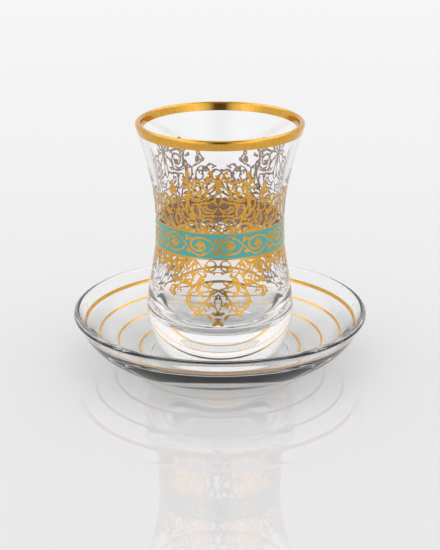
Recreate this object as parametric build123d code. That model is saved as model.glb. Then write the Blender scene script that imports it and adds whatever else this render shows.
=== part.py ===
"""Turkish tea glass on its saucer: a tulip glass with a gilded lip and an enamelled waist, on a ringed glass dish.

Millimetres, +Z up. The origin is the centre of the saucer's foot, on the surface that it stands on.
"""
import math
import os

from build123d import *

# ---- saucer -----------------------------------------------------------------------------------
SAUCER_RADIUS = 55.0  # outside of the rim
SAUCER_HEIGHT = 21.2  # top of the rounded rim
SAUCER_RIM_THICKNESS = 2.5  # the rim is a half round of this width
SAUCER_RIM_LEAN = 27.0  # degrees that the rim leans out
SHOULDER_INSET = 4.4  # a point high on the dish's inside, from the outside of the rim
SHOULDER_DROP = 4.8  # and below its top
SLOPE_INSET = 9.6  # a point half way up the dish's inside
SLOPE_DROP = 9.4
SLOPE_ANGLE = 31.0  # degrees that the inside rises at that point
SLOPE_WALL = 3.6  # thickness there, square to the surface
FOOT_RING_RADIUS = 31.2  # where the outside leaves the table
FOOT_RING_WIDTH = 4.6  # flat ring that touches the table
UNDERSIDE_ANGLE = 25.0  # degrees that the outside rises from the foot ring
RECESS_DEPTH = 0.9  # height of the underside above the table, inside the foot ring
WELL_FLOOR = 3.8  # height of the flat that the glass stands on
WELL_RADIUS = 25.4  # edge of that flat
WELL_STEP_WIDTH = 4.6  # from the flat to the start of the dish's slope
WELL_STEP_RISE = 1.25
STEP_ANGLE = 21.0  # degrees that the dish's slope starts with

# ---- tea glass, with heights above its own foot -------------------------------------------------
GLASS_HEIGHT = 89.2
RIM_RADIUS = 30.75  # outside of the lip
LIP_THICKNESS = 1.9
LIP_LEAN = 15.0  # degrees that the lip leans out
FLARE_RADIUS = 26.3  # a point on the flare between waist and lip
FLARE_DROP = 17.0  # below the lip
WAIST_RADIUS = 23.65
WAIST_RISE = 51.2
WAIST_WALL = 1.9
HIP_RADIUS = 25.2  # a point between belly and waist
HIP_RISE = 34.0
BELLY_RADIUS = 27.5
BELLY_RISE = 17.6
BELLY_WALL = 2.2
KNUCKLE_RADIUS = 24.1  # a point where the foot rounds up into the belly
KNUCKLE_RISE = 4.2
FOOT_RADIUS = 18.6  # edge of the flat that the glass stands on
PUNT_RADIUS = 14.5  # shallow hollow in the middle of the foot
PUNT_DEPTH = 1.2
PUNT_ANGLE = 12.0  # degrees that the hollow falls at its edge
BASE_THICKNESS = 13.2  # solid glass under the cavity
CAVITY_KNUCKLE_RADIUS = 20.5  # a point where the cavity's floor rounds up into its wall
CAVITY_KNUCKLE_RISE = 2.2  # above the floor's centre
CAVITY_BELLY_RISE = 9.0  # where the cavity is widest, above the floor's centre

# ---- decoration ---------------------------------------------------------------------------------
GOLD = 0.08  # thickness of fired gold
ENAMEL = 0.10  # thickness of fired enamel on its gold ground
LIP_GOLD_OUTSIDE = 3.8  # how far the lip's gold reaches down the outside
LIP_GOLD_INSIDE = 3.2
BAND_RISE = 44.4  # lower edge of the enamel, above the glass's foot
BAND_HEIGHT = 9.0
BAND_EDGE = 0.55  # gold line left showing above and below the enamel
RING_WIDTH = 0.75
RING_INSET = 0.4  # the innermost ring, from the top of the well's step
RING_SHARE = 0.54  # where the third ring lies between the innermost and the second
COAT_STEPS = 12  # spans of the spline that draws a coat's outside

os.makedirs("parts", exist_ok=True)


def heading(degrees_up):
    """Return the direction, in the half section, that rises by this angle from the outward radius."""
    angle = math.radians(degrees_up)
    return (math.cos(angle), math.sin(angle))


def moved(point, direction, distance):
    """Return a point moved along a direction."""
    return (point[0] + distance * direction[0], point[1] + distance * direction[1])


def rounded_edge(outermost, top, thickness, lean):
    """Return the outer end, crown and inner end of a half-round edge that leans out from the vertical."""
    radius = thickness / 2
    centre = (outermost - radius, top - radius)
    along = heading(90 - lean)
    across = heading(-lean)
    return moved(centre, across, radius), moved(centre, along, radius), moved(centre, across, -radius)


def smooth(points, start, end):
    """Return a spline through points that sets off and arrives in two given directions."""
    return Spline(*points, tangents=(start, end), tangent_scalars=(1, 1))


def half_section(*edges):
    """Return the face inside a closed outline drawn in radius and height, stood up in the XZ plane."""
    return Plane.XZ * make_face(edges)


def saucer_section():
    """Return the saucer's half section: well, step, dish, rounded rim, outside and foot ring."""
    outer, crown, inner = rounded_edge(SAUCER_RADIUS, SAUCER_HEIGHT, SAUCER_RIM_THICKNESS, SAUCER_RIM_LEAN)
    rim_up = heading(90 - SAUCER_RIM_LEAN)
    rim_down = heading(270 - SAUCER_RIM_LEAN)
    shoulder = (SAUCER_RADIUS - SHOULDER_INSET, SAUCER_HEIGHT - SHOULDER_DROP)
    slope = (SAUCER_RADIUS - SLOPE_INSET, SAUCER_HEIGHT - SLOPE_DROP)
    under_slope = moved(slope, heading(SLOPE_ANGLE - 90), SLOPE_WALL)
    step_top = (WELL_RADIUS + WELL_STEP_WIDTH, WELL_FLOOR + WELL_STEP_RISE)
    well_edge = (WELL_RADIUS, WELL_FLOOR)
    well_centre = (0, WELL_FLOOR)
    recess_centre = (0, RECESS_DEPTH)
    foot_inner = (FOOT_RING_RADIUS - FOOT_RING_WIDTH, 0)
    recess_edge = (foot_inner[0] - RECESS_DEPTH, RECESS_DEPTH)
    foot_outer = (FOOT_RING_RADIUS, 0)
    return half_section(
        Line(recess_centre, recess_edge),
        Line(recess_edge, foot_inner),
        Line(foot_inner, foot_outer),
        smooth((foot_outer, under_slope, outer), heading(UNDERSIDE_ANGLE), rim_up),
        ThreePointArc(outer, crown, inner),
        smooth((inner, shoulder, slope, step_top), rim_down, heading(180 + STEP_ANGLE)),
        smooth((step_top, well_edge), heading(180 + STEP_ANGLE), heading(180)),
        Line(well_edge, well_centre),
        Line(well_centre, recess_centre),
    )


def glass_section():
    """Return the glass's half section, with its foot on the well's floor."""
    foot = WELL_FLOOR
    top = foot + GLASS_HEIGHT
    outer, crown, inner = rounded_edge(RIM_RADIUS, top, LIP_THICKNESS, LIP_LEAN)
    lip_up = heading(90 - LIP_LEAN)
    lip_down = heading(270 - LIP_LEAN)
    flare_height = top - FLARE_DROP
    waist_height = foot + WAIST_RISE
    belly_height = foot + BELLY_RISE
    hip_height = foot + HIP_RISE
    hip_wall = (WAIST_WALL + BELLY_WALL) / 2
    punt_centre = (0, foot + PUNT_DEPTH)
    punt_edge = (PUNT_RADIUS, foot)
    foot_edge = (FOOT_RADIUS, foot)
    outside = (
        foot_edge,
        (KNUCKLE_RADIUS, foot + KNUCKLE_RISE),
        (BELLY_RADIUS, belly_height),
        (HIP_RADIUS, hip_height),
        (WAIST_RADIUS, waist_height),
        (FLARE_RADIUS, flare_height),
        outer,
    )
    floor_centre = (0, foot + BASE_THICKNESS)
    cavity = (
        inner,
        (FLARE_RADIUS - WAIST_WALL, flare_height),
        (WAIST_RADIUS - WAIST_WALL, waist_height),
        (HIP_RADIUS - hip_wall, hip_height),
        (BELLY_RADIUS - BELLY_WALL, floor_centre[1] + CAVITY_BELLY_RISE),
        (CAVITY_KNUCKLE_RADIUS, floor_centre[1] + CAVITY_KNUCKLE_RISE),
        floor_centre,
    )
    return half_section(
        smooth((punt_centre, punt_edge), heading(0), heading(-PUNT_ANGLE)),
        Line(punt_edge, foot_edge),
        smooth(outside, heading(0), lip_up),
        ThreePointArc(outer, crown, inner),
        smooth(cavity, lip_down, heading(180)),
        Line(floor_centre, punt_centre),
    )


def window(inside, outside, bottom, top):
    """Return a rectangle of the XZ half plane between two radii and two heights."""
    width = outside - inside
    height = top - bottom
    return Plane.XZ * Pos((inside + outside) / 2, (bottom + top) / 2) * Rectangle(width, height)


def raised(bed, away_from, distance):
    """Return the bed's edges, or where it is to be raised, a spline at that distance on the side away from a point."""
    if not distance:
        return bed.edges()
    outward = bed.tangent_at(0.5).cross(Vector(0, 1, 0))
    side = 1 if outward.dot(bed.position_at(0.5) - away_from) > 0 else -1
    points = []
    for step in range(COAT_STEPS + 1):
        share = step / COAT_STEPS
        square = bed.tangent_at(share).cross(Vector(0, 1, 0)).normalized()
        points.append(bed.position_at(share) + square * side * distance)
    return [Spline(points)]


def coat(section, opening, start, thickness, facing=None):
    """Return a coat on the curved outline in a window, from start to start + thickness off the section's surface.

    Where the window shows both faces of a wall, facing is the direction that the coated one looks in.
    """
    strip = section & opening
    middle = strip.center()
    curves = strip.edges().filter_by(GeomType.LINE, reverse=True)
    if facing:
        curves = curves.filter_by(lambda edge: (edge.position_at(0.5) - middle).dot(Vector(facing)) > 0)
    bed = Wire(curves)
    below = raised(bed, middle, start)
    above = raised(bed, middle, start + thickness)
    ends = [Line(Wire(below) @ end, Wire(above) @ end) for end in (0, 1)]
    return revolve(make_face(below + above + ends), Axis.Z, 360)


def lip_gold(glass):
    """Return the gold over the lip: it reaches down both the outside and the inside."""
    top = WELL_FLOOR + GLASS_HEIGHT
    middle = RIM_RADIUS - LIP_THICKNESS / 2
    outside = window(middle, RIM_RADIUS + 1, top - LIP_GOLD_OUTSIDE, top + 1)
    inside = window(middle - LIP_THICKNESS, middle, top - LIP_GOLD_INSIDE, top + 1)
    return coat(glass, outside + inside, 0, GOLD)


def waist_band(glass, start, thickness, edge):
    """Return one coat of the waist's band, wider than the enamel by an edge above and below."""
    bottom = WELL_FLOOR + BAND_RISE - edge
    top = WELL_FLOOR + BAND_RISE + BAND_HEIGHT + edge
    return coat(glass, window(0, RIM_RADIUS, bottom, top), start, thickness, facing=(1, 0, 0))


def ring_radii():
    """Return the radii of the saucer's gold rings, from the outermost in."""
    outermost = SAUCER_RADIUS - SHOULDER_INSET
    second = SAUCER_RADIUS - SLOPE_INSET
    innermost = WELL_RADIUS + WELL_STEP_WIDTH + RING_INSET
    third = innermost + RING_SHARE * (second - innermost)
    return outermost, second, third, innermost


def saucer_ring(saucer, radius):
    """Return one gold ring on the dish's inside."""
    opening = window(radius - RING_WIDTH / 2, radius + RING_WIDTH / 2, 0, SAUCER_HEIGHT)
    return coat(saucer, opening, 0, GOLD, facing=(0, 0, 1))


def main():
    """Build every piece and write one STEP file for each."""
    glass = glass_section()
    saucer = saucer_section()
    pieces = {
        "saucer": revolve(saucer, Axis.Z, 360),
        "tea_glass": revolve(glass, Axis.Z, 360),
        "lip_gold": lip_gold(glass),
        "waist_gold": waist_band(glass, 0, GOLD, BAND_EDGE),
        "waist_enamel": waist_band(glass, GOLD, ENAMEL, 0),
    }
    for number, radius in enumerate(ring_radii(), start=1):
        pieces[f"saucer_ring_{number}"] = saucer_ring(saucer, radius)
    for name, piece in pieces.items():
        export_step(piece, f"parts/{name}.step")


main()
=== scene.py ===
"""Looks of a gilded Turkish tea glass on its saucer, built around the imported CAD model.

Every length in the classes is in millimetres; meshes are turned to metres when they are finished.
"""
from __future__ import annotations

import logging
import math
from dataclasses import dataclass, replace
from enum import Enum

import bmesh
import bpy
import numpy as np
from mathutils import Matrix, Vector


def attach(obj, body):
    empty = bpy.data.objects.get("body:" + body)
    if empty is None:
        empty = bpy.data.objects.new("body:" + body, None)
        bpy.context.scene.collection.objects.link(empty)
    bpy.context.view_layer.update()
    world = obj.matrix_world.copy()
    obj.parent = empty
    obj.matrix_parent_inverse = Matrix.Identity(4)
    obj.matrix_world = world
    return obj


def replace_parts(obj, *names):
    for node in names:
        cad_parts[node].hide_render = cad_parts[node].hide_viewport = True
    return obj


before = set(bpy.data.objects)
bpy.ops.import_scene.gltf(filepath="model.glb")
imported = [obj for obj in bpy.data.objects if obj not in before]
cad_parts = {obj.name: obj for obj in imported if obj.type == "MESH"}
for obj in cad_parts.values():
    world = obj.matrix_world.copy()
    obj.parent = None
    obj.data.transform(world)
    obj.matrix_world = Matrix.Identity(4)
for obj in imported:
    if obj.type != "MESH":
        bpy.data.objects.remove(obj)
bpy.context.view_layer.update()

LOG = logging.getLogger("tea_glass")
MM = 0.001  # metres in a millimetre
CLEARANCE = 0.01  # millimetres between a fired coat and the glass under it, so that their faces never meet
SAMPLE = 0.42  # millimetres between points of a stroke
CURL_STEPS = 14  # points in a full turn of a curl
CURL_TIGHTENING = 0.68  # share of its radius that a curl loses by its end
LEAF_BEND = 24  # degrees by which a leaf's tip turns
BODY = "root"

Point = tuple[float, float]


class Slot(Enum):
    """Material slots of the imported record."""

    GLASS = "clear_glass"
    GOLD = "gold"
    ENAMEL = "turquoise_enamel"


# ---- small helpers ----


def linear(hex_colour: str, alpha: float = 1.0) -> tuple[float, float, float, float]:
    """Turn an sRGB hex colour into linear RGBA.

    Args:
        hex_colour: six hex digits after a hash.
        alpha: the fourth channel.

    Returns:
        Linear red, green, blue and the alpha.
    """
    channels = [int(hex_colour[i : i + 2], 16) / 255 for i in (1, 3, 5)]
    values = [c / 12.92 if c <= 0.04045 else ((c + 0.055) / 1.055) ** 2.4 for c in channels]
    return (*values, alpha)


def heading(degrees_up: float) -> Point:
    """Return the direction in a half section that rises by an angle from the outward radius."""
    return math.cos(math.radians(degrees_up)), math.sin(math.radians(degrees_up))


def smooth(points: list[Point], start: Point, end: Point, spacing: float = 0.8) -> list[Point]:
    """Sample the clamped cubic spline through points, at roughly even spacing.

    Args:
        points: radius and height of each point that the curve passes.
        start: unit direction in which it sets off.
        end: unit direction in which it arrives.
        spacing: distance between samples.

    Returns:
        The sampled curve, with both ends.
    """
    knots = np.array(points, float)
    chords = np.linalg.norm(np.diff(knots, axis=0), axis=1)
    count = len(knots)
    system = np.eye(count)
    target = np.zeros((count, 2))
    target[0], target[-1] = start, end
    for i in range(1, count - 1):
        before, after = chords[i - 1], chords[i]
        system[i, i - 1 : i + 2] = after, 2 * (before + after), before
        rise = after * (knots[i] - knots[i - 1]) / before + before * (knots[i + 1] - knots[i]) / after
        target[i] = 3 * rise
    slopes = np.linalg.solve(system, target)
    samples = []
    for i, chord in enumerate(chords):
        steps = max(2, math.ceil(chord / spacing))
        for step in range(steps):
            t = step / steps
            samples.append(
                (1 + 2 * t) * (1 - t) ** 2 * knots[i]
                + t * (1 - t) ** 2 * chord * slopes[i]
                + t * t * (3 - 2 * t) * knots[i + 1]
                + t * t * (t - 1) * chord * slopes[i + 1]
            )
    samples.append(knots[-1])
    return [(float(r), float(z)) for r, z in samples]


def arc_over(outermost: float, top: float, thickness: float, lean: float, steps: int = 14) -> list[Point]:
    """Return a half-round edge from its outer end over the crown to its inner end.

    Args:
        outermost: radius of the edge's outside.
        top: height of its crown.
        thickness: width of the half round.
        lean: degrees that the edge leans out.
        steps: spans in the half round.

    Returns:
        The points of the arc.
    """
    radius = thickness / 2
    turns = [math.radians(-lean + 180 * step / steps) for step in range(steps + 1)]
    return [(outermost - radius + radius * math.cos(t), top - radius + radius * math.sin(t)) for t in turns]


def raised(line: list[Point], distance: float) -> list[Point]:
    """Return a line moved square to itself, to the left of its direction for a positive distance."""
    moved = []
    for i, point in enumerate(line):
        before, after = line[max(i - 1, 0)], line[min(i + 1, len(line) - 1)]
        run = Vector((after[0] - before[0], after[1] - before[1])).normalized()
        moved.append((point[0] - run.y * distance, point[1] + run.x * distance))
    return moved


def finish_piece(
    bm: bmesh.types.BMesh, name: str, materials: list[bpy.types.Material], sharp: float = 35.0
) -> bpy.types.Object:
    """Turn a bmesh drawn in millimetres into a finished piece that rides on the body.

    Args:
        bm: the mesh, which is freed.
        name: the piece's name.
        materials: its materials, in the order of the faces' indices.
        sharp: edges that turn by more degrees than this are shaded sharp.

    Returns:
        The new object.
    """
    bmesh.ops.scale(bm, vec=(MM, MM, MM), verts=bm.verts)
    mesh = bpy.data.meshes.new(name)
    bm.to_mesh(mesh)
    bm.free()
    mesh.shade_smooth()
    mesh.set_sharp_from_angle(angle=math.radians(sharp))
    for material in materials:
        mesh.materials.append(material)
    piece = bpy.data.objects.new(name, mesh)
    bpy.context.scene.collection.objects.link(piece)
    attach(piece, BODY)
    LOG.info("%s: %d faces", name, len(mesh.polygons))
    return piece


def turned(outline: list[Point], closed: bool, segments: int) -> bmesh.types.BMesh:
    """Spin a half section about Z into a closed surface.

    Args:
        outline: radius and height of its points; an open outline starts and ends on the axis.
        closed: whether the last point joins the first.
        segments: steps round the circle.

    Returns:
        The mesh, with its normals outwards.
    """
    bm = bmesh.new()
    verts = [bm.verts.new((r, 0, z)) for r, z in outline]
    pairs = list(zip(verts, verts[1:]))
    if closed:
        pairs.append((verts[-1], verts[0]))
    edges = [bm.edges.new(pair) for pair in pairs]
    bmesh.ops.spin(
        bm, geom=verts + edges, cent=(0, 0, 0), axis=(0, 0, 1), angle=math.tau, steps=segments, use_merge=True
    )
    bmesh.ops.remove_doubles(bm, verts=bm.verts, dist=0.0005)
    bmesh.ops.recalc_face_normals(bm, faces=bm.faces)
    return bm


# ---- materials ----


def add_node(
    tree: bpy.types.NodeTree, kind: str, settings: dict | None = None, links: dict | None = None
) -> bpy.types.Node:
    """Add a shader node with its settings and incoming links.

    Args:
        tree: the node tree.
        kind: the node's type, such as ShaderNodeMath.
        settings: values of its properties or input sockets, by name or socket number.
        links: output sockets that feed its inputs, by name or socket number.

    Returns:
        The node.
    """
    node = tree.nodes.new(kind)
    for key, value in (settings or {}).items():
        if isinstance(key, str) and hasattr(node, key):
            setattr(node, key, value)
        else:
            node.inputs[key].default_value = value
    for key, source in (links or {}).items():
        tree.links.new(source, node.inputs[key])
    return node


def new_material(name: str) -> tuple[bpy.types.Material, bpy.types.NodeTree, bpy.types.Node]:
    """Return a new material, its tree and its output node."""
    material = bpy.data.materials.new(name)
    material.use_nodes = True
    material.node_tree.nodes.clear()
    output = add_node(material.node_tree, "ShaderNodeOutputMaterial")
    return material, material.node_tree, output


@dataclass(frozen=True)
class SodaLimeGlass:
    """Pressed, fire-polished soda-lime glass: clear face on, with painted shade that greys it where a wall is
    seen edge on.
    """

    clear: str = "#FFFFFF"
    # painted shade: the grey that the glass's colour turns to where a wall is seen edge on
    edge: str = "#8F9695"
    ior: float = 1.52

    def build(self) -> bpy.types.Material:
        """Return the material."""
        material, tree, output = new_material("soda_lime_glass_fire_polished")
        # painted shade: the colour greys from clear to edge as the wall turns edge on to the ray
        painted_edge_shade = add_node(tree, "ShaderNodeLayerWeight", {"Blend": 0.32})
        ramp = add_node(tree, "ShaderNodeValToRGB", links={"Fac": painted_edge_shade.outputs["Facing"]})
        ramp.color_ramp.elements[0].position = 0.50
        ramp.color_ramp.elements[0].color = linear(self.clear)
        ramp.color_ramp.elements[1].position = 0.98
        ramp.color_ramp.elements[1].color = linear(self.edge)
        side = add_node(tree, "ShaderNodeNewGeometry")
        tint = add_node(
            tree,
            "ShaderNodeMix",
            {"data_type": "RGBA", 7: linear(self.clear)},
            {0: side.outputs["Backfacing"], 6: ramp.outputs["Color"]},
        )
        glass = add_node(
            tree,
            "ShaderNodeBsdfPrincipled",
            {"Roughness": 0.0, "IOR": self.ior, "Transmission Weight": 1.0},
            {"Base Color": tint.outputs[2]},
        )
        clear_shadow = add_node(tree, "ShaderNodeBsdfTransparent", {"Color": linear("#F4F6F5")})
        path = add_node(tree, "ShaderNodeLightPath")
        mix = add_node(
            tree,
            "ShaderNodeMixShader",
            links={0: path.outputs["Is Shadow Ray"], 1: glass.outputs[0], 2: clear_shadow.outputs[0]},
        )
        tree.links.new(mix.outputs[0], output.inputs["Surface"])
        return material


@dataclass(frozen=True)
class FiredGold:
    """Bright gold fired on glass: a thin mirror film, slightly uneven in tone and gloss where brushed on."""

    name: str
    colour: str
    dark: str
    roughness: float
    metallic: float = 1.0
    mottle: float = 1.6  # millimetres across a patch of thicker or thinner gold

    def build(self) -> bpy.types.Material:
        """Return the material."""
        material, tree, output = new_material(self.name)
        place = add_node(tree, "ShaderNodeTexCoord")
        patches = add_node(
            tree,
            "ShaderNodeTexNoise",
            {"Scale": 1 / (self.mottle * MM), "Detail": 3.0, "Roughness": 0.55},
            {"Vector": place.outputs["Object"]},
        )
        tint = add_node(tree, "ShaderNodeValToRGB", links={"Fac": patches.outputs["Fac"]})
        tint.color_ramp.elements[0].position = 0.30
        tint.color_ramp.elements[0].color = linear(self.dark)
        tint.color_ramp.elements[1].position = 0.62
        tint.color_ramp.elements[1].color = linear(self.colour)
        gloss = add_node(
            tree,
            "ShaderNodeMapRange",
            {"To Min": self.roughness * 0.7, "To Max": self.roughness * 1.4},
            {"Value": patches.outputs["Fac"]},
        )
        metal = add_node(
            tree,
            "ShaderNodeBsdfPrincipled",
            {"Metallic": self.metallic},
            {"Base Color": tint.outputs["Color"], "Roughness": gloss.outputs[0]},
        )
        tree.links.new(metal.outputs[0], output.inputs["Surface"])
        return material


@dataclass(frozen=True)
class FiredEnamel:
    """Opaque turquoise enamel, screened on and fired: even colour, faint cloudiness, soft gloss."""

    colour: str = "#44A8A2"
    cloud: str = "#54B4AC"
    cloud_size: float = 3.0  # millimetres
    grain_size: float = 0.35  # millimetres

    def build(self) -> bpy.types.Material:
        """Return the material."""
        material, tree, output = new_material("fired_enamel_turquoise")
        place = add_node(tree, "ShaderNodeTexCoord")
        clouds = add_node(
            tree,
            "ShaderNodeTexNoise",
            {"Scale": 1 / (self.cloud_size * MM), "Detail": 4.0},
            {"Vector": place.outputs["Object"]},
        )
        tint = add_node(
            tree,
            "ShaderNodeMix",
            {"data_type": "RGBA", 6: linear(self.colour), 7: linear(self.cloud)},
            {0: clouds.outputs["Fac"]},
        )
        grain = add_node(
            tree,
            "ShaderNodeTexNoise",
            {"Scale": 1 / (self.grain_size * MM), "Detail": 2.0},
            {"Vector": place.outputs["Object"]},
        )
        bump = add_node(
            tree,
            "ShaderNodeBump",
            {"Strength": 0.06, "Distance": 0.05 * MM},
            {"Height": grain.outputs["Fac"]},
        )
        enamel = add_node(
            tree,
            "ShaderNodeBsdfPrincipled",
            {"Roughness": 0.28, "Coat Weight": 0.3, "Coat Roughness": 0.1},
            {"Base Color": tint.outputs[2], "Normal": bump.outputs["Normal"]},
        )
        tree.links.new(enamel.outputs[0], output.inputs["Surface"])
        return material


class Finishes:
    """Every finish of the set, built once."""

    def __init__(self) -> None:
        """Build the materials."""
        self.glass = SodaLimeGlass().build()
        self.gold = FiredGold("bright_gold_fired", "#DDAA4E", "#D29C3F", 0.10).build()
        self.gold_back = FiredGold("bright_gold_seen_through_glass", "#A9806A", "#8C6858", 0.30, 0.6).build()
        ground = FiredGold("gold_ground_seen_through_glass", "#C58233", "#A9691F", 0.22, 0.5)
        self.ground_back = ground.build()
        self.enamel = FiredEnamel().build()


# ---- the saucer ----


@dataclass
class Saucer:
    """The glass dish and its gold rings."""

    radius: float = 55.0
    height: float = 21.2
    rim_thickness: float = 2.5
    rim_lean: float = 27.0
    shoulder_inset: float = 4.4
    shoulder_drop: float = 4.8
    slope_inset: float = 9.6
    slope_drop: float = 9.4
    slope_angle: float = 31.0
    slope_wall: float = 3.6
    foot_radius: float = 31.2
    foot_width: float = 4.6
    underside_angle: float = 25.0
    recess: float = 0.9
    well_floor: float = 3.8
    well_radius: float = 25.4
    step_width: float = 4.6
    step_rise: float = 1.25
    step_angle: float = 21.0
    ring_width: float = 0.75
    ring_share: float = 0.54
    ring_inset: float = 0.4
    gold: float = 0.05
    segments: int = 192

    def inside(self) -> list[Point]:
        """Return the dish's inside, from the rim's inner end down to the well's edge."""
        rim = arc_over(self.radius, self.height, self.rim_thickness, self.rim_lean)
        shoulder = (self.radius - self.shoulder_inset, self.height - self.shoulder_drop)
        slope = (self.radius - self.slope_inset, self.height - self.slope_drop)
        step_top = (self.well_radius + self.step_width, self.well_floor + self.step_rise)
        well_edge = (self.well_radius, self.well_floor)
        down = heading(270 - self.rim_lean)
        inward = heading(180 + self.step_angle)
        dish = smooth([rim[-1], shoulder, slope, step_top], down, inward)
        return dish + smooth([step_top, well_edge], inward, heading(180), 0.5)[1:]

    def outline(self) -> list[Point]:
        """Return the dish's half section, from the underside's centre round to the well's centre."""
        rim = arc_over(self.radius, self.height, self.rim_thickness, self.rim_lean)
        slope = (self.radius - self.slope_inset, self.height - self.slope_drop)
        square = heading(self.slope_angle - 90)
        under = (slope[0] + square[0] * self.slope_wall, slope[1] + square[1] * self.slope_wall)
        foot_inner = self.foot_radius - self.foot_width
        outside = smooth(
            [(self.foot_radius, 0.0), under, rim[0]],
            heading(self.underside_angle),
            heading(90 - self.rim_lean),
        )
        start = [(0.0, self.recess), (foot_inner - self.recess, self.recess), (foot_inner, 0.0)]
        return start + outside + rim[1:-1] + self.inside() + [(0.0, self.well_floor)]

    def ring_radii(self) -> tuple[float, ...]:
        """Return the radii of the gold rings, from the outermost in."""
        second = self.radius - self.slope_inset
        innermost = self.well_radius + self.step_width + self.ring_inset
        third = innermost + self.ring_share * (second - innermost)
        return self.radius - self.shoulder_inset, second, third, innermost

    def height_inside(self, radius: float) -> float:
        """Return the height of the dish's inside at a radius."""
        line = sorted(self.inside())
        return float(np.interp(radius, [p[0] for p in line], [p[1] for p in line]))

    def build(self, finishes: Finishes) -> None:
        """Build the dish and its rings.

        Args:
            finishes: the set's materials.
        """
        shape = turned(self.outline(), False, self.segments)
        dish = finish_piece(shape, "saucer_dish", [finishes.glass])
        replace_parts(dish, "saucer")
        for number, radius in enumerate(self.ring_radii(), start=1):
            half = self.ring_width / 2
            bed = [(r, self.height_inside(r)) for r in np.linspace(radius - half, radius + half, 5)]
            outline = raised(bed, CLEARANCE) + raised(bed, CLEARANCE + self.gold)[::-1]
            ring = finish_piece(
                turned(outline, True, self.segments), f"saucer_gold_line_{number}", [finishes.gold]
            )
            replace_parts(ring, f"saucer_ring_{number}")


# ---- the glass ----


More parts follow.
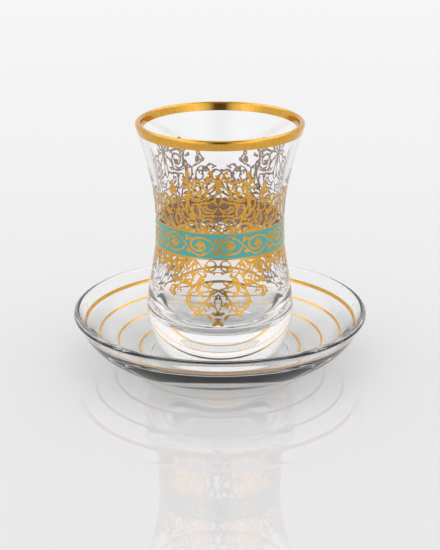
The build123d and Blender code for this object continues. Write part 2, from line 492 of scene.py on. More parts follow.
@dataclass
class TeaGlass:
    """The tulip glass, its gilded lip and its enamelled waist."""

    seat: float = 3.8
    height: float = 89.2
    rim_radius: float = 30.75
    lip_thickness: float = 1.9
    lip_lean: float = 15.0
    flare_radius: float = 26.3
    flare_drop: float = 17.0
    waist_radius: float = 23.65
    waist_rise: float = 51.2
    waist_wall: float = 1.9
    hip_radius: float = 25.2
    hip_rise: float = 34.0
    belly_radius: float = 27.5
    belly_rise: float = 17.6
    belly_wall: float = 2.2
    knuckle_radius: float = 24.1
    knuckle_rise: float = 4.2
    foot_radius: float = 18.6
    punt_radius: float = 14.5
    punt_depth: float = 1.2
    punt_angle: float = 12.0
    base: float = 13.2
    cavity_knuckle_radius: float = 20.5
    cavity_knuckle_rise: float = 2.2
    cavity_belly_rise: float = 9.0
    foot_gap: float = 0.02  # keeps the foot's faces off the well's
    film: float = 0.05  # fired gold, drawn thicker than life so that its edge stays whole
    band_rise: float = 44.4
    band_height: float = 9.0
    band_edge: float = 0.55
    lip_outside: float = 3.8
    lip_inside: float = 3.2
    segments: int = 192

    def outside(self) -> list[Point]:
        """Return the outside, from the foot's edge up to the lip's outer end."""
        top = self.seat + self.height
        lip = arc_over(self.rim_radius, top, self.lip_thickness, self.lip_lean)
        points = [
            (self.foot_radius, self.seat),
            (self.knuckle_radius, self.seat + self.knuckle_rise),
            (self.belly_radius, self.seat + self.belly_rise),
            (self.hip_radius, self.seat + self.hip_rise),
            (self.waist_radius, self.seat + self.waist_rise),
            (self.flare_radius, top - self.flare_drop),
            lip[0],
        ]
        return smooth(points, heading(0), heading(90 - self.lip_lean))

    def inside(self) -> list[Point]:
        """Return the cavity's wall, from the lip's inner end down to the floor's centre."""
        top = self.seat + self.height
        lip = arc_over(self.rim_radius, top, self.lip_thickness, self.lip_lean)
        floor = self.seat + self.base
        hip_wall = (self.waist_wall + self.belly_wall) / 2
        points = [
            lip[-1],
            (self.flare_radius - self.waist_wall, top - self.flare_drop),
            (self.waist_radius - self.waist_wall, self.seat + self.waist_rise),
            (self.hip_radius - hip_wall, self.seat + self.hip_rise),
            (self.belly_radius - self.belly_wall, floor + self.cavity_belly_rise),
            (self.cavity_knuckle_radius, floor + self.cavity_knuckle_rise),
            (0.0, floor),
        ]
        return smooth(points, heading(270 - self.lip_lean), heading(180))

    def radius_at(self, height: float) -> float:
        """Return the outside's radius at a height."""
        if not hasattr(self, "_wall"):
            wall = self.outside()
            self._wall = ([p[1] for p in wall], [p[0] for p in wall])
        return float(np.interp(height, *self._wall))

    def outline(self) -> list[Point]:
        """Return the glass's half section, from the punt's centre round to the cavity floor's centre."""
        punt = smooth(
            [(0.0, self.seat + self.punt_depth), (self.punt_radius, self.seat)],
            heading(0),
            heading(-self.punt_angle),
        )
        lip = arc_over(self.rim_radius, self.seat + self.height, self.lip_thickness, self.lip_lean)
        whole = punt + self.outside() + lip[1:-1] + self.inside()
        return [(r, max(z, self.seat + self.foot_gap)) for r, z in whole]

    def coat(self, low: float, high: float, start: float, thickness: float) -> list[Point]:
        """Return the outline of a coat on the outside between two heights, a distance off the surface."""
        bed = [(self.radius_at(z), z) for z in np.linspace(low, high, 16)]
        return raised(bed, -start) + raised(bed, -start - thickness)[::-1]

    def build(self, finishes: Finishes) -> None:
        """Build the glass, the lip's gold and the waist's two coats.

        Args:
            finishes: the set's materials.
        """
        shape = turned(self.outline(), False, self.segments)
        body = finish_piece(shape, "tea_glass_body", [finishes.glass])
        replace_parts(body, "tea_glass")

        top = self.seat + self.height
        lip = arc_over(self.rim_radius, top, self.lip_thickness, self.lip_lean)
        over = [p for p in self.outside() if p[1] > top - self.lip_outside] + lip[1:-1]
        over += [p for p in self.inside() if p[1] > top - self.lip_inside]
        coat = raised(over, -CLEARANCE) + raised(over, -CLEARANCE - 2 * self.film)[::-1]
        gilding = turned(coat, True, self.segments)
        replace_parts(finish_piece(gilding, "lip_gilding", [finishes.gold], 60.0), "lip_gold")

        low = self.seat + self.band_rise
        high = low + self.band_height
        wide = self.coat(low - self.band_edge, high + self.band_edge, CLEARANCE, self.film)
        ground = turned(wide, True, self.segments)
        self.mark_back(ground)
        piece = finish_piece(ground, "waist_gold_ground", [finishes.gold, finishes.ground_back])
        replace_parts(piece, "waist_gold")
        enamel = turned(self.coat(low, high, CLEARANCE + self.film, self.film), True, self.segments)
        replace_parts(finish_piece(enamel, "waist_enamel_band", [finishes.enamel]), "waist_enamel")

    @staticmethod
    def mark_back(bm: bmesh.types.BMesh) -> None:
        """Give the faces that look in towards the axis the second material."""
        for face in bm.faces:
            middle = face.calc_center_median()
            if face.normal.dot(Vector((middle.x, middle.y, 0))) < 0:
                face.material_index = 1


# ---- scrollwork ----


@dataclass(frozen=True)
class Stroke:
    """One stroke of the gold scrollwork, drawn flat in millimetres along and up the glass.

    The stroke swells from its start to its middle and thins to its end. A curl winds its end into a bulb,
    to the left for a positive radius and to the right for a negative one.
    """

    points: tuple[Point, ...]
    width: float = 0.45
    start: float = 0.6  # share of the width at the start
    end: float = 0.6
    curl: float = 0.0
    turns: float = 0.9
    bulb: float = 0.0

    def path(self) -> list[Vector]:
        """Return the stroke's middle line."""
        knots = [Vector(p) for p in self.points]
        line = []
        for i in range(len(knots) - 1):
            before = knots[max(i - 1, 0)]
            after = knots[min(i + 2, len(knots) - 1)]
            a, b = knots[i], knots[i + 1]
            steps = max(2, round((b - a).length / SAMPLE))
            for step in range(steps):
                t = step / steps
                line.append(
                    0.5
                    * (
                        2 * a
                        + (b - before) * t
                        + (2 * before - 5 * a + 4 * b - after) * t * t
                        + (3 * a - before - 3 * b + after) * t**3
                    )
                )
        line.append(knots[-1])
        if self.curl:
            run = (line[-1] - line[-2]).normalized()
            side = 1 if self.curl > 0 else -1
            spot = line[-1].copy()
            steps = round(CURL_STEPS * self.turns)
            for step in range(steps):
                radius = abs(self.curl) * (1 - CURL_TIGHTENING * step / steps)
                turn = math.tau / CURL_STEPS
                run.rotate(Matrix.Rotation(side * turn, 2))
                spot = spot + run * radius * turn
                line.append(spot.copy())
        return line

    def widths(self, count: int) -> list[float]:
        """Return the stroke's width at each of its points."""
        shares = [i / (count - 1) for i in range(count)]
        ends = [self.start + (self.end - self.start) * s for s in shares]
        return [self.width * (e + (1 - e) * math.sin(math.pi * s) ** 0.7) for e, s in zip(ends, shares)]


def leaf(x: float, y: float, length: float, angle: float, width: float = 0.9) -> Stroke:
    """Return a pointed leaf that grows from a spot at an angle, bending a little."""
    a = math.radians(angle)
    bend = math.radians(angle + LEAF_BEND)
    middle = (x + 0.5 * length * math.cos(a), y + 0.5 * length * math.sin(a))
    tip = (middle[0] + 0.5 * length * math.cos(bend), middle[1] + 0.5 * length * math.sin(bend))
    return Stroke(((x, y), middle, tip), width, 0.25, 0.12)


def foliated(
    strokes: list[Stroke], weight: float = 1.12, every: int = 7, length: float = 1.15
) -> list[Stroke]:
    """Thicken strokes and let small leaves sprout from them, to one side and the other in turn.

    Args:
        strokes: the bare drawing.
        weight: share by which each stroke is widened.
        every: samples of the stroke's path between leaves.
        length: a leaf's length.

    Returns:
        The full drawing.
    """
    full = []
    for stroke in strokes:
        full.append(replace(stroke, width=weight * stroke.width))
        line = stroke.path()
        for number, i in enumerate(range(3, len(line) - 2, every)):
            run = line[i + 1] - line[i - 1]
            side = 50 if number % 2 else -50
            full.append(leaf(*line[i], length, math.degrees(math.atan2(run.y, run.x)) + side, 0.72))
    return full


def draw(bm: bmesh.types.BMesh, stroke: Stroke) -> None:
    """Draw a stroke as a flat strip of faces: one edge across its start, extruded along the path.

    Args:
        bm: the flat mesh that the strip is added to.
        stroke: the stroke.
    """
    line = stroke.path()
    widths = stroke.widths(len(line))
    crossings = []
    for i, spot in enumerate(line):
        run = (line[min(i + 1, len(line) - 1)] - line[max(i - 1, 0)]).normalized()
        side = Vector((-run.y, run.x)) * widths[i] / 2
        crossings.append((spot + side, spot - side))
    left, right = (bm.verts.new((*p, 0)) for p in crossings[0])
    edge = bm.edges.new((left, right))
    for high, low in crossings[1:]:
        grown = bmesh.ops.extrude_edge_only(bm, edges=[edge])["geom"]
        ends = [v for v in grown if isinstance(v, bmesh.types.BMVert)]
        edge = next(e for e in grown if isinstance(e, bmesh.types.BMEdge))
        behind = (left, right)
        grown_from = {e.other_vert(v): v for v in ends for e in v.link_edges if e.other_vert(v) in behind}
        grown_from[left].co = (*high, 0)
        grown_from[right].co = (*low, 0)
        left, right = grown_from[left], grown_from[right]
    if stroke.bulb:
        place = Matrix.Translation((*line[-1], 0))
        bmesh.ops.create_circle(bm, cap_ends=True, segments=10, radius=stroke.bulb, matrix=place)


@dataclass
class Scrollwork:
    """A flat drawing of strokes, repeated round the glass and wrapped on to it as a thin film."""

    glass: TeaGlass
    base_height: float  # height of the drawing's y = 0
    copies: int
    first_turn: float = 0.0  # degrees
    offset: float = 0.012
    film: float = 0.05
    mirrored: bool = True

    def build(self, name: str, strokes: list[Stroke], finishes: Finishes) -> bpy.types.Object:
        """Build the film.

        Args:
            name: the piece's name.
            strokes: the drawing; a mirrored one holds its right half.
            finishes: the set's materials.

        Returns:
            The piece.
        """
        bm = bmesh.new()
        for stroke in strokes:
            part = bmesh.new()
            draw(part, stroke)
            mesh = bpy.data.meshes.new("stroke")
            part.to_mesh(mesh)
            part.free()
            bm.from_mesh(mesh)
            bpy.data.meshes.remove(mesh)
        bmesh.ops.recalc_face_normals(bm, faces=bm.faces)
        if self.mirrored:
            twin = bmesh.ops.duplicate(bm, geom=bm.faces[:] + bm.edges[:] + bm.verts[:])["geom"]
            verts = [v for v in twin if isinstance(v, bmesh.types.BMVert)]
            bmesh.ops.scale(bm, vec=(-1, 1, 1), verts=verts)
        for face in bm.faces:
            if face.normal.z < 0:
                face.normal_flip()
            face.normal_update()
            if face.normal.z < 0:
                face.normal_flip()
        grown = bmesh.ops.extrude_face_region(bm, geom=bm.faces[:])["geom"]
        raised_verts = [v for v in grown if isinstance(v, bmesh.types.BMVert)]
        bmesh.ops.translate(bm, vec=(0, 0, self.film), verts=raised_verts)
        bmesh.ops.recalc_face_normals(bm, faces=bm.faces)
        for face in bm.faces:
            if face.normal.z < -0.5:
                face.material_index = 1
        flat = bm.verts[:]
        circle = self.glass.waist_radius
        for vert in flat:
            height = self.base_height + vert.co.y
            turn = vert.co.x / circle
            radius = self.glass.radius_at(height) + self.offset + vert.co.z
            vert.co = (radius * math.sin(turn), -radius * math.cos(turn), height)
        geometry = bm.faces[:] + bm.edges[:] + bm.verts[:]
        for copy in range(1, self.copies):
            twin = bmesh.ops.duplicate(bm, geom=geometry)["geom"]
            verts = [v for v in twin if isinstance(v, bmesh.types.BMVert)]
            turn = Matrix.Rotation(math.tau * copy / self.copies, 3, "Z")
            bmesh.ops.rotate(bm, cent=(0, 0, 0), matrix=turn, verts=verts)
        turn = Matrix.Rotation(math.radians(self.first_turn), 3, "Z")
        bmesh.ops.rotate(bm, cent=(0, 0, 0), matrix=turn, verts=bm.verts)
        return finish_piece(bm, name, [finishes.gold, finishes.gold_back])


def lower_strokes() -> list[Stroke]:
    """Return the right half of the pendant under the band, with y = 0 on the band's lower edge."""
    return [
        Stroke(
            (
                (4.1, -1.2), (3.2, -0.4), (1.7, -0.5), (0.75, -1.9), (1.4, -3.6),
                (3.3, -4.2), (5.2, -3.4), (7.0, -1.6), (8.1, -0.2),
            ),
            0.5,
        ),
        Stroke(((4.1, -1.2), (4.4, -1.9)), 0.45, 0.8, 0.8, bulb=0.32),
        Stroke(((2.3, -2.3), (3.0, -3.1), (4.3, -3.0)), 0.62, 0.3, 0.3, 0.5, 0.6, 0.3),
        Stroke(((0.0, -4.5), (3.5, -4.55), (7.3, -4.5)), 0.28, 1, 0.4),
        Stroke(((8.2, -0.2), (7.7, -3.2), (6.9, -5.2), (5.2, -6.4)), 0.55, 0.7, 0.8, -0.85, 0.55, 0.42),
        Stroke(((6.2, -6.2), (5.0, -8.2), (2.9, -9.1)), 0.5, 0.7, 0.8, -0.95, 0.6, 0.42),
        Stroke(((4.4, -9.3), (1.9, -10.4), (0.0, -11.0), (-1.6, -12.0)), 0.42, 0.4, 0.7),
        Stroke(((5.6, -7.0), (5.4, -8.9), (4.2, -9.9), (2.8, -9.6)), 0.55, 0.8, 0.3),
        Stroke(((1.0, -11.0), (3.4, -11.5), (5.0, -12.0), (6.2, -13.4)), 0.6, 0.6, 0.15),
        Stroke(((5.2, -12.1), (5.6, -13.2), (4.8, -13.5)), 0.7, 0.4, 0.15),
        Stroke(((0.05, -12.3), (1.0, -14.2), (0.95, -16.6), (0.05, -18.9)), 0.42, 0.7, 0.7),
        Stroke(((0.9, -12.0), (2.2, -12.2), (2.9, -13.4), (2.7, -14.4)), 0.85, 0.5, 0.6),
        Stroke(((2.6, -13.8), (4.0, -14.6), (3.7, -16.1), (2.8, -16.8)), 0.55, 0.5, 0.7, -0.7, 0.6, 0.35),
        Stroke(((3.7, -14.3), (4.5, -15.8), (4.4, -17.5), (3.8, -18.6)), 0.45, 0.6, 0.9, bulb=0.4),
        Stroke(
            ((6.3, -6.6), (7.8, -9.6), (9.9, -12.0), (10.6, -14.8), (9.6, -17.4), (7.4, -19.4), (6.6, -20.3)),
            0.6, 0.9, 1.0,
        ),
        Stroke(
            ((6.0, -6.8), (6.2, -10.2), (7.9, -12.0), (9.3, -12.6), (9.6, -14.8), (8.4, -17.0), (6.6, -17.6)),
            0.45, 0.7, 0.8, -1.3, 0.75, 0.4,
        ),
        Stroke(((6.7, -8.0), (7.0, -10.5), (6.1, -12.9)), 0.8, 0.6, 0.15),
        Stroke(((7.6, -18.9), (5.2, -18.4), (4.3, -17.6)), 0.55, 0.6, 0.4),
        Stroke(((7.4, -19.7), (5.0, -19.9), (3.0, -20.1), (2.1, -21.9)), 0.42, 0.8, 0.8),
        Stroke(((3.2, -20.0), (2.6, -20.8), (2.0, -21.6)), 0.9, 0.3, 0.4),
        Stroke(((6.3, -19.6), (7.3, -20.6)), 0.8, 0.6, 0.6, bulb=0.45),
        Stroke(((0.0, -18.6), (0.0, -20.2)), 1.2, 0.5, 0.5),
        Stroke(((0.0, -19.6), (0.9, -19.8), (1.4, -18.8)), 0.8, 0.7, 0.25),
        Stroke(((0.0, -21.0), (0.0, -22.6)), 0.9, 0.5, 0.9),
        Stroke(((0.0, -21.6), (0.8, -21.4)), 0.7, 0.9, 0.5, bulb=0.3),
        Stroke(((0.0, -22.2), (0.9, -22.9), (1.6, -24.0)), 0.95, 0.8, 0.4),
        Stroke(((0.0, -22.4), (0.5, -23.4)), 0.8, 0.9, 0.6),
        # the shoulder of scrolls and leaves between the pendant and the band's far end
        Stroke(
            ((8.3, -0.4), (9.4, -2.2), (10.9, -4.2), (12.2, -4.4), (13.0, -3.0)),
            0.5, 0.7, 0.8, 1.0, 0.7, 0.4,
        ),
        Stroke(
            ((8.6, -0.5), (9.3, -3.4), (8.6, -5.4), (9.0, -7.3), (11.0, -7.9)),
            0.5, 0.6, 0.8, 1.1, 0.7, 0.42,
        ),
        Stroke(((11.3, -5.0), (9.5, -5.6), (8.9, -7.2)), 0.5, 0.5, 0.7),
        Stroke(((9.0, -7.4), (10.4, -9.4), (12.8, -9.4), (14.6, -10.6), (16.2, -12.2)), 0.6, 0.7, 0.8),
        Stroke(((7.6, -9.6), (9.4, -9.9), (11.2, -8.9), (12.9, -9.2)), 0.9, 0.4, 0.4),
        Stroke(((10.2, -7.8), (11.7, -8.6), (11.6, -9.6)), 1.0, 0.5, 0.5),
        Stroke(((14.4, -10.5), (16.9, -11.2), (17.3, -13.2), (16.1, -14.4)), 0.5, 0.5, 0.9, -0.7, 0.5, 0.4),
        Stroke(((13.6, -10.4), (13.4, -11.8), (14.4, -12.2)), 0.5, 0.5, 0.8, bulb=0.35),
        Stroke(((15.4, -11.9), (16.2, -12.8), (15.6, -13.9)), 0.9, 0.4, 0.4),
        Stroke(((13.0, -9.2), (15.0, -8.6), (16.9, -9.4), (17.3, -8.2), (16.6, -7.0)), 0.55, 0.7, 0.4),
        Stroke(((12.2, -4.8), (13.6, -6.2), (13.0, -8.2), (14.8, -8.8)), 0.6, 0.5, 0.5),
        Stroke(((13.6, -5.8), (15.2, -5.4), (16.4, -6.6), (15.8, -8.0)), 0.5, 0.5, 0.7, -0.6, 0.6, 0.35),
        Stroke(((10.4, -0.7), (12.0, -1.6), (13.5, -1.2), (15.4, -2.0), (16.8, -3.6)), 1.0, 0.4, 0.3),
        Stroke(((12.8, -1.6), (14.0, -3.2), (14.9, -4.9)), 1.5, 0.5, 0.2),
        Stroke(((14.4, -1.2), (16.6, -1.8), (18.2, -3.8), (19.2, -6.0)), 1.1, 0.4, 0.3, 0.6, 0.4, 0.4),
        Stroke(((16.4, -3.2), (15.9, -5.0), (17.4, -6.2)), 0.9, 0.5, 0.2),
        Stroke(((17.0, -0.4), (19.4, -1.4), (20.6, -3.2), (20.0, -4.8)), 0.7, 0.5, 0.8, -0.8, 0.6, 0.4),
        Stroke(((18.8, -0.2), (21.2, -0.9), (22.7, -2.6), (24.8, -3.6)), 0.6, 0.5, 0.6),
        Stroke(((21.4, -1.0), (22.0, -3.4), (23.6, -4.6), (24.8, -5.6)), 0.8, 0.4, 0.5),
        Stroke(((22.6, -0.3), (23.8, -1.4), (24.8, -1.2)), 0.6, 0.6, 0.6),
        Stroke(((11.9, -2.6), (10.6, -2.4), (10.8, -1.4), (11.9, -1.5)), 0.5, 0.6, 0.6),
        Stroke(((8.4, -0.3), (13.0, -0.25), (18.0, -0.25), (24.8, -0.3)), 0.5, 0.5, 1.0),
        leaf(9.9, -0.6, 2.2, -50),
        leaf(15.8, -2.4, 2.4, -80),
        leaf(18.4, -1.4, 2.6, -60, 1.1),
        leaf(20.4, -1.6, 2.4, -75),
        leaf(12.0, -3.4, 1.8, 200),
        leaf(14.6, -8.6, 1.6, 60),
        leaf(8.0, -5.0, 1.6, -60),
    ]


def upper_strokes() -> list[Stroke]:
    """Return the right half of the crown over the band, with y = 0 on the band's upper edge."""
    return [
        # the small arches on the band and the open palmette above them
        Stroke(((0.5, 0.2), (0.4, 1.8), (1.2, 3.2), (3.0, 3.6), (4.4, 2.8)), 0.55, 0.8, 0.7, -1.0, 0.8, 0.4),
        Stroke(((0.0, 0.3), (2.4, 0.5), (4.6, 0.3), (7.6, 0.5)), 0.5, 0.9, 0.7),
        Stroke(((1.0, 4.4), (2.9, 5.3), (5.2, 4.6), (6.4, 2.8), (5.9, 1.2)), 0.5, 0.6, 0.8, -0.8, 0.7, 0.4),
        Stroke(((6.2, 0.4), (7.6, 2.2), (8.0, 4.4)), 0.7, 0.5, 0.6),
        Stroke(((0.2, 6.4), (2.4, 6.6), (4.6, 6.2), (6.6, 5.2)), 0.5, 0.8, 0.6),
        Stroke(
            ((0.3, 9.6), (1.5, 8.6), (3.2, 8.9), (4.9, 9.9), (5.1, 8.6), (3.9, 7.6), (1.6, 7.9)),
            0.5, 0.8, 0.5,
        ),
        Stroke(((6.6, 5.2), (6.1, 7.4), (6.6, 9.6), (5.6, 11.2), (3.6, 11.3), (1.2, 12.6)), 0.7, 0.6, 0.7),
        Stroke(((0.1, 10.4), (0.9, 11.6), (1.0, 13.4), (0.7, 15.2)), 0.6, 0.6, 0.6),
        Stroke(((0.7, 14.8), (0.2, 17.0), (0.5, 19.4), (0.3, 21.0)), 0.8, 0.6, 0.7),
        Stroke(((0.4, 20.0), (1.5, 21.2), (1.9, 22.8)), 0.75, 0.7, 0.6, -0.65, 0.5, 0.3),
        Stroke(((0.0, 20.2), (0.0, 22.4)), 0.9, 0.9, 0.3),
        Stroke(((0.6, 19.4), (2.2, 20.0), (3.2, 20.3)), 0.5, 0.6, 0.6),
        # the wing beside the finial
        Stroke(((1.0, 19.0), (1.9, 17.6), (3.2, 16.2), (3.9, 14.4)), 0.6, 0.5, 0.6),
        Stroke(((2.0, 14.0), (3.4, 13.4), (4.4, 14.4), (4.0, 16.0)), 0.6, 0.5, 0.6, 0.6, 0.5, 0.3),
        Stroke(((2.6, 20.0), (4.2, 19.4), (6.6, 19.5), (8.4, 19.2)), 0.8, 0.5, 0.6),
        leaf(2.6, 19.7, 2.4, 62, 1.1),
        leaf(7.0, 19.2, 1.8, 50, 0.9),
        leaf(7.6, 18.8, 2.0, 10, 0.9),
        Stroke(((4.6, 19.0), (5.0, 17.2), (4.0, 16.4)), 0.7, 0.5, 0.4),
        Stroke(
            ((4.3, 17.4), (5.8, 18.2), (7.4, 17.4), (8.4, 15.8), (7.6, 14.2), (6.0, 14.4)),
            0.6, 0.7, 0.8, -0.9, 0.6, 0.4,
        ),
        Stroke(((5.0, 16.2), (6.4, 15.2), (7.6, 15.6)), 0.9, 0.3, 0.3),
        Stroke(((5.2, 13.8), (7.6, 12.6), (9.6, 13.6), (9.8, 15.8), (8.8, 17.6)), 0.6, 0.6, 0.5),
        Stroke(((3.9, 14.4), (5.0, 12.6), (7.4, 11.8), (9.6, 12.2)), 0.55, 0.6, 0.6),
        # the tall spike and its scroll
        Stroke(
            ((8.0, 4.4), (9.2, 7.2), (10.4, 10.2), (10.0, 13.2), (9.4, 15.6), (9.8, 18.2)),
            0.65, 0.7, 0.6,
        ),
        Stroke(((9.6, 17.4), (10.4, 19.2), (9.8, 21.4), (9.2, 22.4)), 0.75, 0.6, 0.8, -0.5, 0.4, 0.3),
        Stroke(((9.4, 15.4), (10.8, 14.6), (11.2, 12.8), (10.4, 11.4)), 0.6, 0.5, 0.5),
        Stroke(((8.2, 17.2), (9.0, 18.6), (8.2, 19.4)), 0.8, 0.5, 0.3),
        leaf(10.2, 18.6, 2.2, 40, 0.9),
        leaf(10.4, 16.4, 2.4, 20, 0.9),
        # scrolls over the gold ground
        Stroke(((6.8, 5.2), (8.8, 7.4), (9.0, 10.0), (7.4, 10.6), (6.9, 9.2)), 0.55, 0.6, 0.5),
        Stroke(
            ((8.0, 4.4), (10.6, 6.2), (12.6, 8.8), (13.0, 11.8), (11.6, 13.2)),
            0.6, 0.7, 0.8, 0.9, 0.7, 0.4,
        ),
        Stroke(
            ((9.4, 5.2), (11.6, 4.6), (13.2, 5.8), (13.0, 7.8), (11.4, 8.0)),
            0.5, 0.6, 0.8, -0.7, 0.5, 0.35,
        ),
        Stroke(((7.6, 0.6), (9.8, 1.0), (11.8, 2.4), (13.0, 4.0)), 0.7, 0.6, 0.6),
        Stroke(((8.4, 2.8), (10.0, 3.4), (11.4, 2.6)), 0.8, 0.4, 0.4),
        Stroke(
            ((13.0, 11.8), (14.4, 13.0), (16.0, 13.2), (17.2, 14.4), (17.0, 16.0), (15.8, 16.6)),
            0.55, 0.6, 0.8, -0.8, 0.6, 0.5,
        ),
        leaf(15.0, 13.6, 2.8, 68, 1.7),
        leaf(16.8, 13.8, 2.0, 40, 1.2),
        Stroke(((13.0, 4.0), (14.6, 6.4), (14.6, 9.4), (15.4, 11.4), (17.4, 12.4)), 0.6, 0.7, 0.5),
        Stroke(((14.4, 8.0), (16.4, 7.2), (17.6, 8.6), (17.0, 10.4)), 0.55, 0.6, 0.8, 0.7, 0.6, 0.38),
        Stroke(((13.0, 1.2), (15.4, 2.2), (16.4, 4.4), (15.4, 6.0), (14.0, 5.4)), 0.6, 0.6, 0.6),
        Stroke(((9.6, 0.4), (12.0, 0.5), (15.0, 0.4), (18.6, 0.6)), 0.8, 0.7, 0.5),
        Stroke(((16.4, 0.8), (18.6, 2.6), (18.9, 5.4), (17.6, 7.4)), 0.6, 0.6, 0.6),
        Stroke(((17.2, 5.6), (19.2, 6.6), (20.4, 9.0), (19.6, 11.0)), 0.55, 0.6, 0.8, 0.8, 0.7, 0.4),
        Stroke(
            ((18.4, 1.4), (20.8, 2.2), (22.4, 4.2), (22.2, 6.8), (20.6, 7.8)),
            0.65, 0.6, 0.8, 1.0, 0.8, 0.45,
        ),
        Stroke(((19.6, 0.4), (22.2, 1.0), (24.8, 2.4)), 0.7, 0.6, 0.8),
        Stroke(((22.4, 6.0), (23.6, 8.2), (24.8, 9.4)), 0.6, 0.6, 0.6),
        Stroke(((20.4, 9.0), (22.0, 10.6), (24.0, 10.2), (24.8, 9.4)), 0.55, 0.6, 0.7),
        Stroke(((18.6, 11.4), (20.0, 12.8), (21.6, 12.2)), 0.5, 0.6, 0.8, -0.6, 0.5, 0.35),
        Stroke(((22.8, 3.2), (24.0, 4.6), (24.8, 6.6)), 0.6, 0.5, 0.6),
        leaf(17.6, 10.0, 2.4, 80, 1.2),
        leaf(19.4, 5.0, 2.2, 60, 1.0),
        leaf(21.0, 8.0, 2.2, 100, 1.0),
        leaf(11.6, 9.2, 2.2, 120, 0.9),
        leaf(14.2, 2.4, 2.0, 100, 1.0),
        leaf(10.6, 6.0, 2.0, 150, 0.9),
        leaf(11.8, 0.6, 2.0, 60, 1.1),
        leaf(18.0, 0.8, 2.0, 80, 1.0),
    ]


@dataclass
class Vine:
    """The running vine on the enamel: spirals that turn up and down in turn, each round a small flower."""

    glass: TeaGlass
    spirals: int = 14
    first_turn: float = 8.0  # degrees
    reach: float = 3.55  # height of the stem's waves
    width: float = 0.42

    def strokes(self) -> list[Stroke]:
        """Return the strokes of one wave: a spiral over the stem and one under it."""
        pitch = math.tau * self.glass.waist_radius / self.spirals
        wave = []
        for side, middle in ((1, 0.0), (-1, pitch)):
            shares = [s / 6 - 0.5 for s in range(7)]
            stem = [(middle + pitch * s, side * self.reach * math.cos(math.pi * s)) for s in shares]
            wave.append(Stroke(tuple(stem), 1.3 * self.width, 1, 1))
            winding = []
            for step in range(16):
                turn = math.radians(-32 * step)
                radius = (pitch * 0.47) * (1 - 0.052 * step) ** 1.15
                flat = min(1.0, 0.60 + 0.025 * step)
                rise = radius * flat * math.sin(turn) - 0.25
                winding.append((middle + radius * math.cos(turn), side * rise))
            wave.append(Stroke(tuple(winding), 2.1 * self.width, 0.6, 0.4, bulb=0.4))
            for petal in range(4):
                angle = math.radians(90 * petal)
                tip = (middle + 1.2 * math.cos(angle), side * -0.25 + 1.2 * math.sin(angle))
                wave.append(Stroke(((middle, side * -0.25), tip), 1.15, 0.4, 0.8, bulb=0.42))
            joint = middle + pitch / 2
            wave.append(leaf(joint - 0.3, side * 1.4, 2.6, 62 * side, 1.15))
            wave.append(leaf(joint + 0.2, side * -1.6, 2.2, -40 * side, 1.1))
            wave.append(leaf(joint + 0.7, side * 2.2, 1.8, 10 * side, 0.9))
            wave.append(leaf(middle + 0.8, side * (self.reach - 0.2), 1.6, -38 * side, 0.8))
        return wave

    def build(self, finishes: Finishes) -> None:
        """Wrap the vine round the enamel.

        Args:
            finishes: the set's materials.
        """
        middle = self.glass.seat + self.glass.band_rise + self.glass.band_height / 2
        offset = 2 * CLEARANCE + 2 * self.glass.film
        work = Scrollwork(self.glass, middle, self.spirals // 2, self.first_turn, offset, mirrored=False)
        work.build("waist_gold_vine", self.strokes(), finishes)


# ---- stage ----


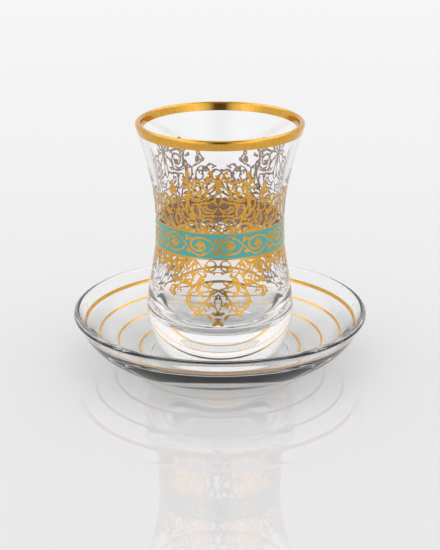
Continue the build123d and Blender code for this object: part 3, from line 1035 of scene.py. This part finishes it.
@dataclass(frozen=True)
class Studio:
    """A pale glossy table that fades into a white surround, plain soft light and the camera."""

    far: str = "#FAFAFA"
    camera_back: float = 0.5399
    camera_height: float = 0.22595
    camera_pitch: float = 19.612
    lens: float = 66.66109091  # millimetres, on a sensor that is 24 high
    sensor: float = 24.0

    @staticmethod
    def grade(ramp: bpy.types.ColorRamp, stops: tuple[Point, ...]) -> None:
        """Set a ramp's stops to grey values, each with its position."""
        while len(ramp.elements) < len(stops):
            ramp.elements.new(0.5)
        for element, (position, value) in zip(ramp.elements, stops):
            element.position = position
            element.color = (value, value, value, 1)

    def world(self) -> None:
        """Set the surround: pale to the camera, greyer overhead through glass, soft boxes to glossy rays."""
        world = bpy.data.worlds.new("studio")
        bpy.context.scene.world = world
        world.use_nodes = True
        tree = world.node_tree
        tree.nodes.clear()
        output = add_node(tree, "ShaderNodeOutputWorld")
        place = add_node(tree, "ShaderNodeTexCoord")
        axes = add_node(tree, "ShaderNodeSeparateXYZ", links={0: place.outputs["Generated"]})
        sideways = add_node(tree, "ShaderNodeMath", {"operation": "ABSOLUTE"}, {0: axes.outputs["X"]})
        boxes = add_node(tree, "ShaderNodeValToRGB", links={"Fac": sideways.outputs[0]})
        self.grade(boxes.color_ramp, ((0.0, 0.10), (0.13, 0.12), (0.30, 0.95), (0.55, 1.5), (0.90, 1.2)))
        to_front = add_node(
            tree, "ShaderNodeMapRange", {"From Min": -0.25, "From Max": -0.6}, {"Value": axes.outputs["Y"]}
        )
        height = add_node(tree, "ShaderNodeValToRGB", links={"Fac": axes.outputs["Z"]})
        self.grade(height.color_ramp, ((0.0, 0.90), (0.52, 0.90), (0.64, 1.7), (0.90, 1.7), (0.96, 0.16)))
        room = add_node(
            tree,
            "ShaderNodeMix",
            {"data_type": "RGBA"},
            {0: to_front.outputs[0], 6: height.outputs["Color"], 7: boxes.outputs["Color"]},
        )
        overhead = add_node(tree, "ShaderNodeValToRGB", links={"Fac": axes.outputs["Z"]})
        self.grade(overhead.color_ramp, ((0.0, 0.955), (0.45, 0.955), (0.80, 0.62), (1.0, 0.55)))
        path = add_node(tree, "ShaderNodeLightPath")
        plain = add_node(tree, "ShaderNodeBackground", {"Color": linear(self.far), "Strength": 1.0})
        through = add_node(tree, "ShaderNodeBackground", links={"Color": overhead.outputs["Color"]})
        light = add_node(tree, "ShaderNodeBackground", {"Color": (1, 1, 1, 1), "Strength": 0.97})
        gloss = add_node(tree, "ShaderNodeBackground", links={"Color": room.outputs[2]})
        lit = add_node(
            tree,
            "ShaderNodeMixShader",
            links={0: path.outputs["Is Glossy Ray"], 1: light.outputs[0], 2: gloss.outputs[0]},
        )
        seen = add_node(
            tree,
            "ShaderNodeMixShader",
            links={0: path.outputs["Is Transmission Ray"], 1: lit.outputs[0], 2: through.outputs[0]},
        )
        shown = add_node(
            tree,
            "ShaderNodeMixShader",
            links={0: path.outputs["Is Camera Ray"], 1: seen.outputs[0], 2: plain.outputs[0]},
        )
        tree.links.new(shown.outputs[0], output.inputs["Surface"])

    def table(self) -> None:
        """Build the table: glossy and pale near the object, with painted shade that darkens it towards the
        camera, fading to the surround's white.
        """
        bm = bmesh.new()
        bmesh.ops.create_circle(bm, cap_ends=True, segments=96, radius=4.0)
        bmesh.ops.translate(bm, vec=(0, 0, -0.00005), verts=bm.verts)
        mesh = bpy.data.meshes.new("table")
        bm.to_mesh(mesh)
        bm.free()
        table = bpy.data.objects.new("table", mesh)
        bpy.context.scene.collection.objects.link(table)
        material, tree, output = new_material("white_acrylic_sheet_polished")
        place = add_node(tree, "ShaderNodeTexCoord")
        axes = add_node(tree, "ShaderNodeSeparateXYZ", links={0: place.outputs["Object"]})
        # painted shade: the table's colour darkens from #F6F6F6 at the back to #E9E7EA towards the camera
        painted_front_shade = add_node(
            tree, "ShaderNodeMapRange", {"From Min": -0.35, "From Max": 0.35}, {"Value": axes.outputs["Y"]}
        )
        tone = add_node(
            tree,
            "ShaderNodeMix",
            {"data_type": "RGBA", 6: linear("#E9E7EA"), 7: linear("#F6F6F6")},
            {0: painted_front_shade.outputs[0]},
        )
        acrylic = add_node(
            tree,
            "ShaderNodeBsdfPrincipled",
            {"Roughness": 0.02, "IOR": 1.8},
            {"Base Color": tone.outputs[2]},
        )
        distance = add_node(
            tree, "ShaderNodeVectorMath", {"operation": "LENGTH"}, {0: place.outputs["Object"]}
        )
        fade = add_node(
            tree,
            "ShaderNodeMapRange",
            {"interpolation_type": "SMOOTHSTEP", "From Min": 0.3, "From Max": 1.3},
            {"Value": distance.outputs["Value"]},
        )
        surround = add_node(tree, "ShaderNodeEmission", {"Color": linear(self.far), "Strength": 1.0})
        mix = add_node(
            tree,
            "ShaderNodeMixShader",
            links={0: fade.outputs[0], 1: acrylic.outputs[0], 2: surround.outputs[0]},
        )
        tree.links.new(mix.outputs[0], output.inputs["Surface"])
        mesh.materials.append(material)

    def camera(self) -> None:
        """Place the camera in front of the glass, looking a little down."""
        data = bpy.data.cameras.new("camera")
        data.sensor_fit = "VERTICAL"
        data.sensor_height = self.sensor
        data.lens = self.lens
        camera = bpy.data.objects.new("camera", data)
        camera.location = (0, -self.camera_back, self.camera_height)
        camera.rotation_euler = (math.radians(90 - self.camera_pitch), 0, 0)
        bpy.context.scene.collection.objects.link(camera)
        bpy.context.scene.camera = camera

    def build(self) -> None:
        """Set the surround, table, camera and the renderer's light paths."""
        self.world()
        self.table()
        self.camera()
        scene = bpy.context.scene
        scene.view_settings.view_transform = "Standard"
        scene.cycles.max_bounces = 24
        scene.cycles.transmission_bounces = 20
        scene.cycles.glossy_bounces = 8
        scene.cycles.transparent_max_bounces = 16
        scene.cycles.use_denoising = True


def main() -> None:
    logging.basicConfig(level=logging.INFO, format="%(name)s: %(message)s")
    Studio().build()
    finishes = Finishes()
    Saucer().build(finishes)
    glass = TeaGlass()
    glass.build(finishes)
    Vine(glass).build(finishes)
    low = glass.seat + glass.band_rise - glass.band_edge
    high = glass.seat + glass.band_rise + glass.band_height + glass.band_edge
    for number in range(3):
        turn = 120.0 * number - 1.5
        pendant = foliated(lower_strokes())
        crown = foliated(upper_strokes())
        Scrollwork(glass, low, 1, turn).build(f"scrollwork_lower_{number + 1}", pendant, finishes)
        Scrollwork(glass, high, 1, turn).build(f"scrollwork_upper_{number + 1}", crown, finishes)


if __name__ == "__main__":
    main()
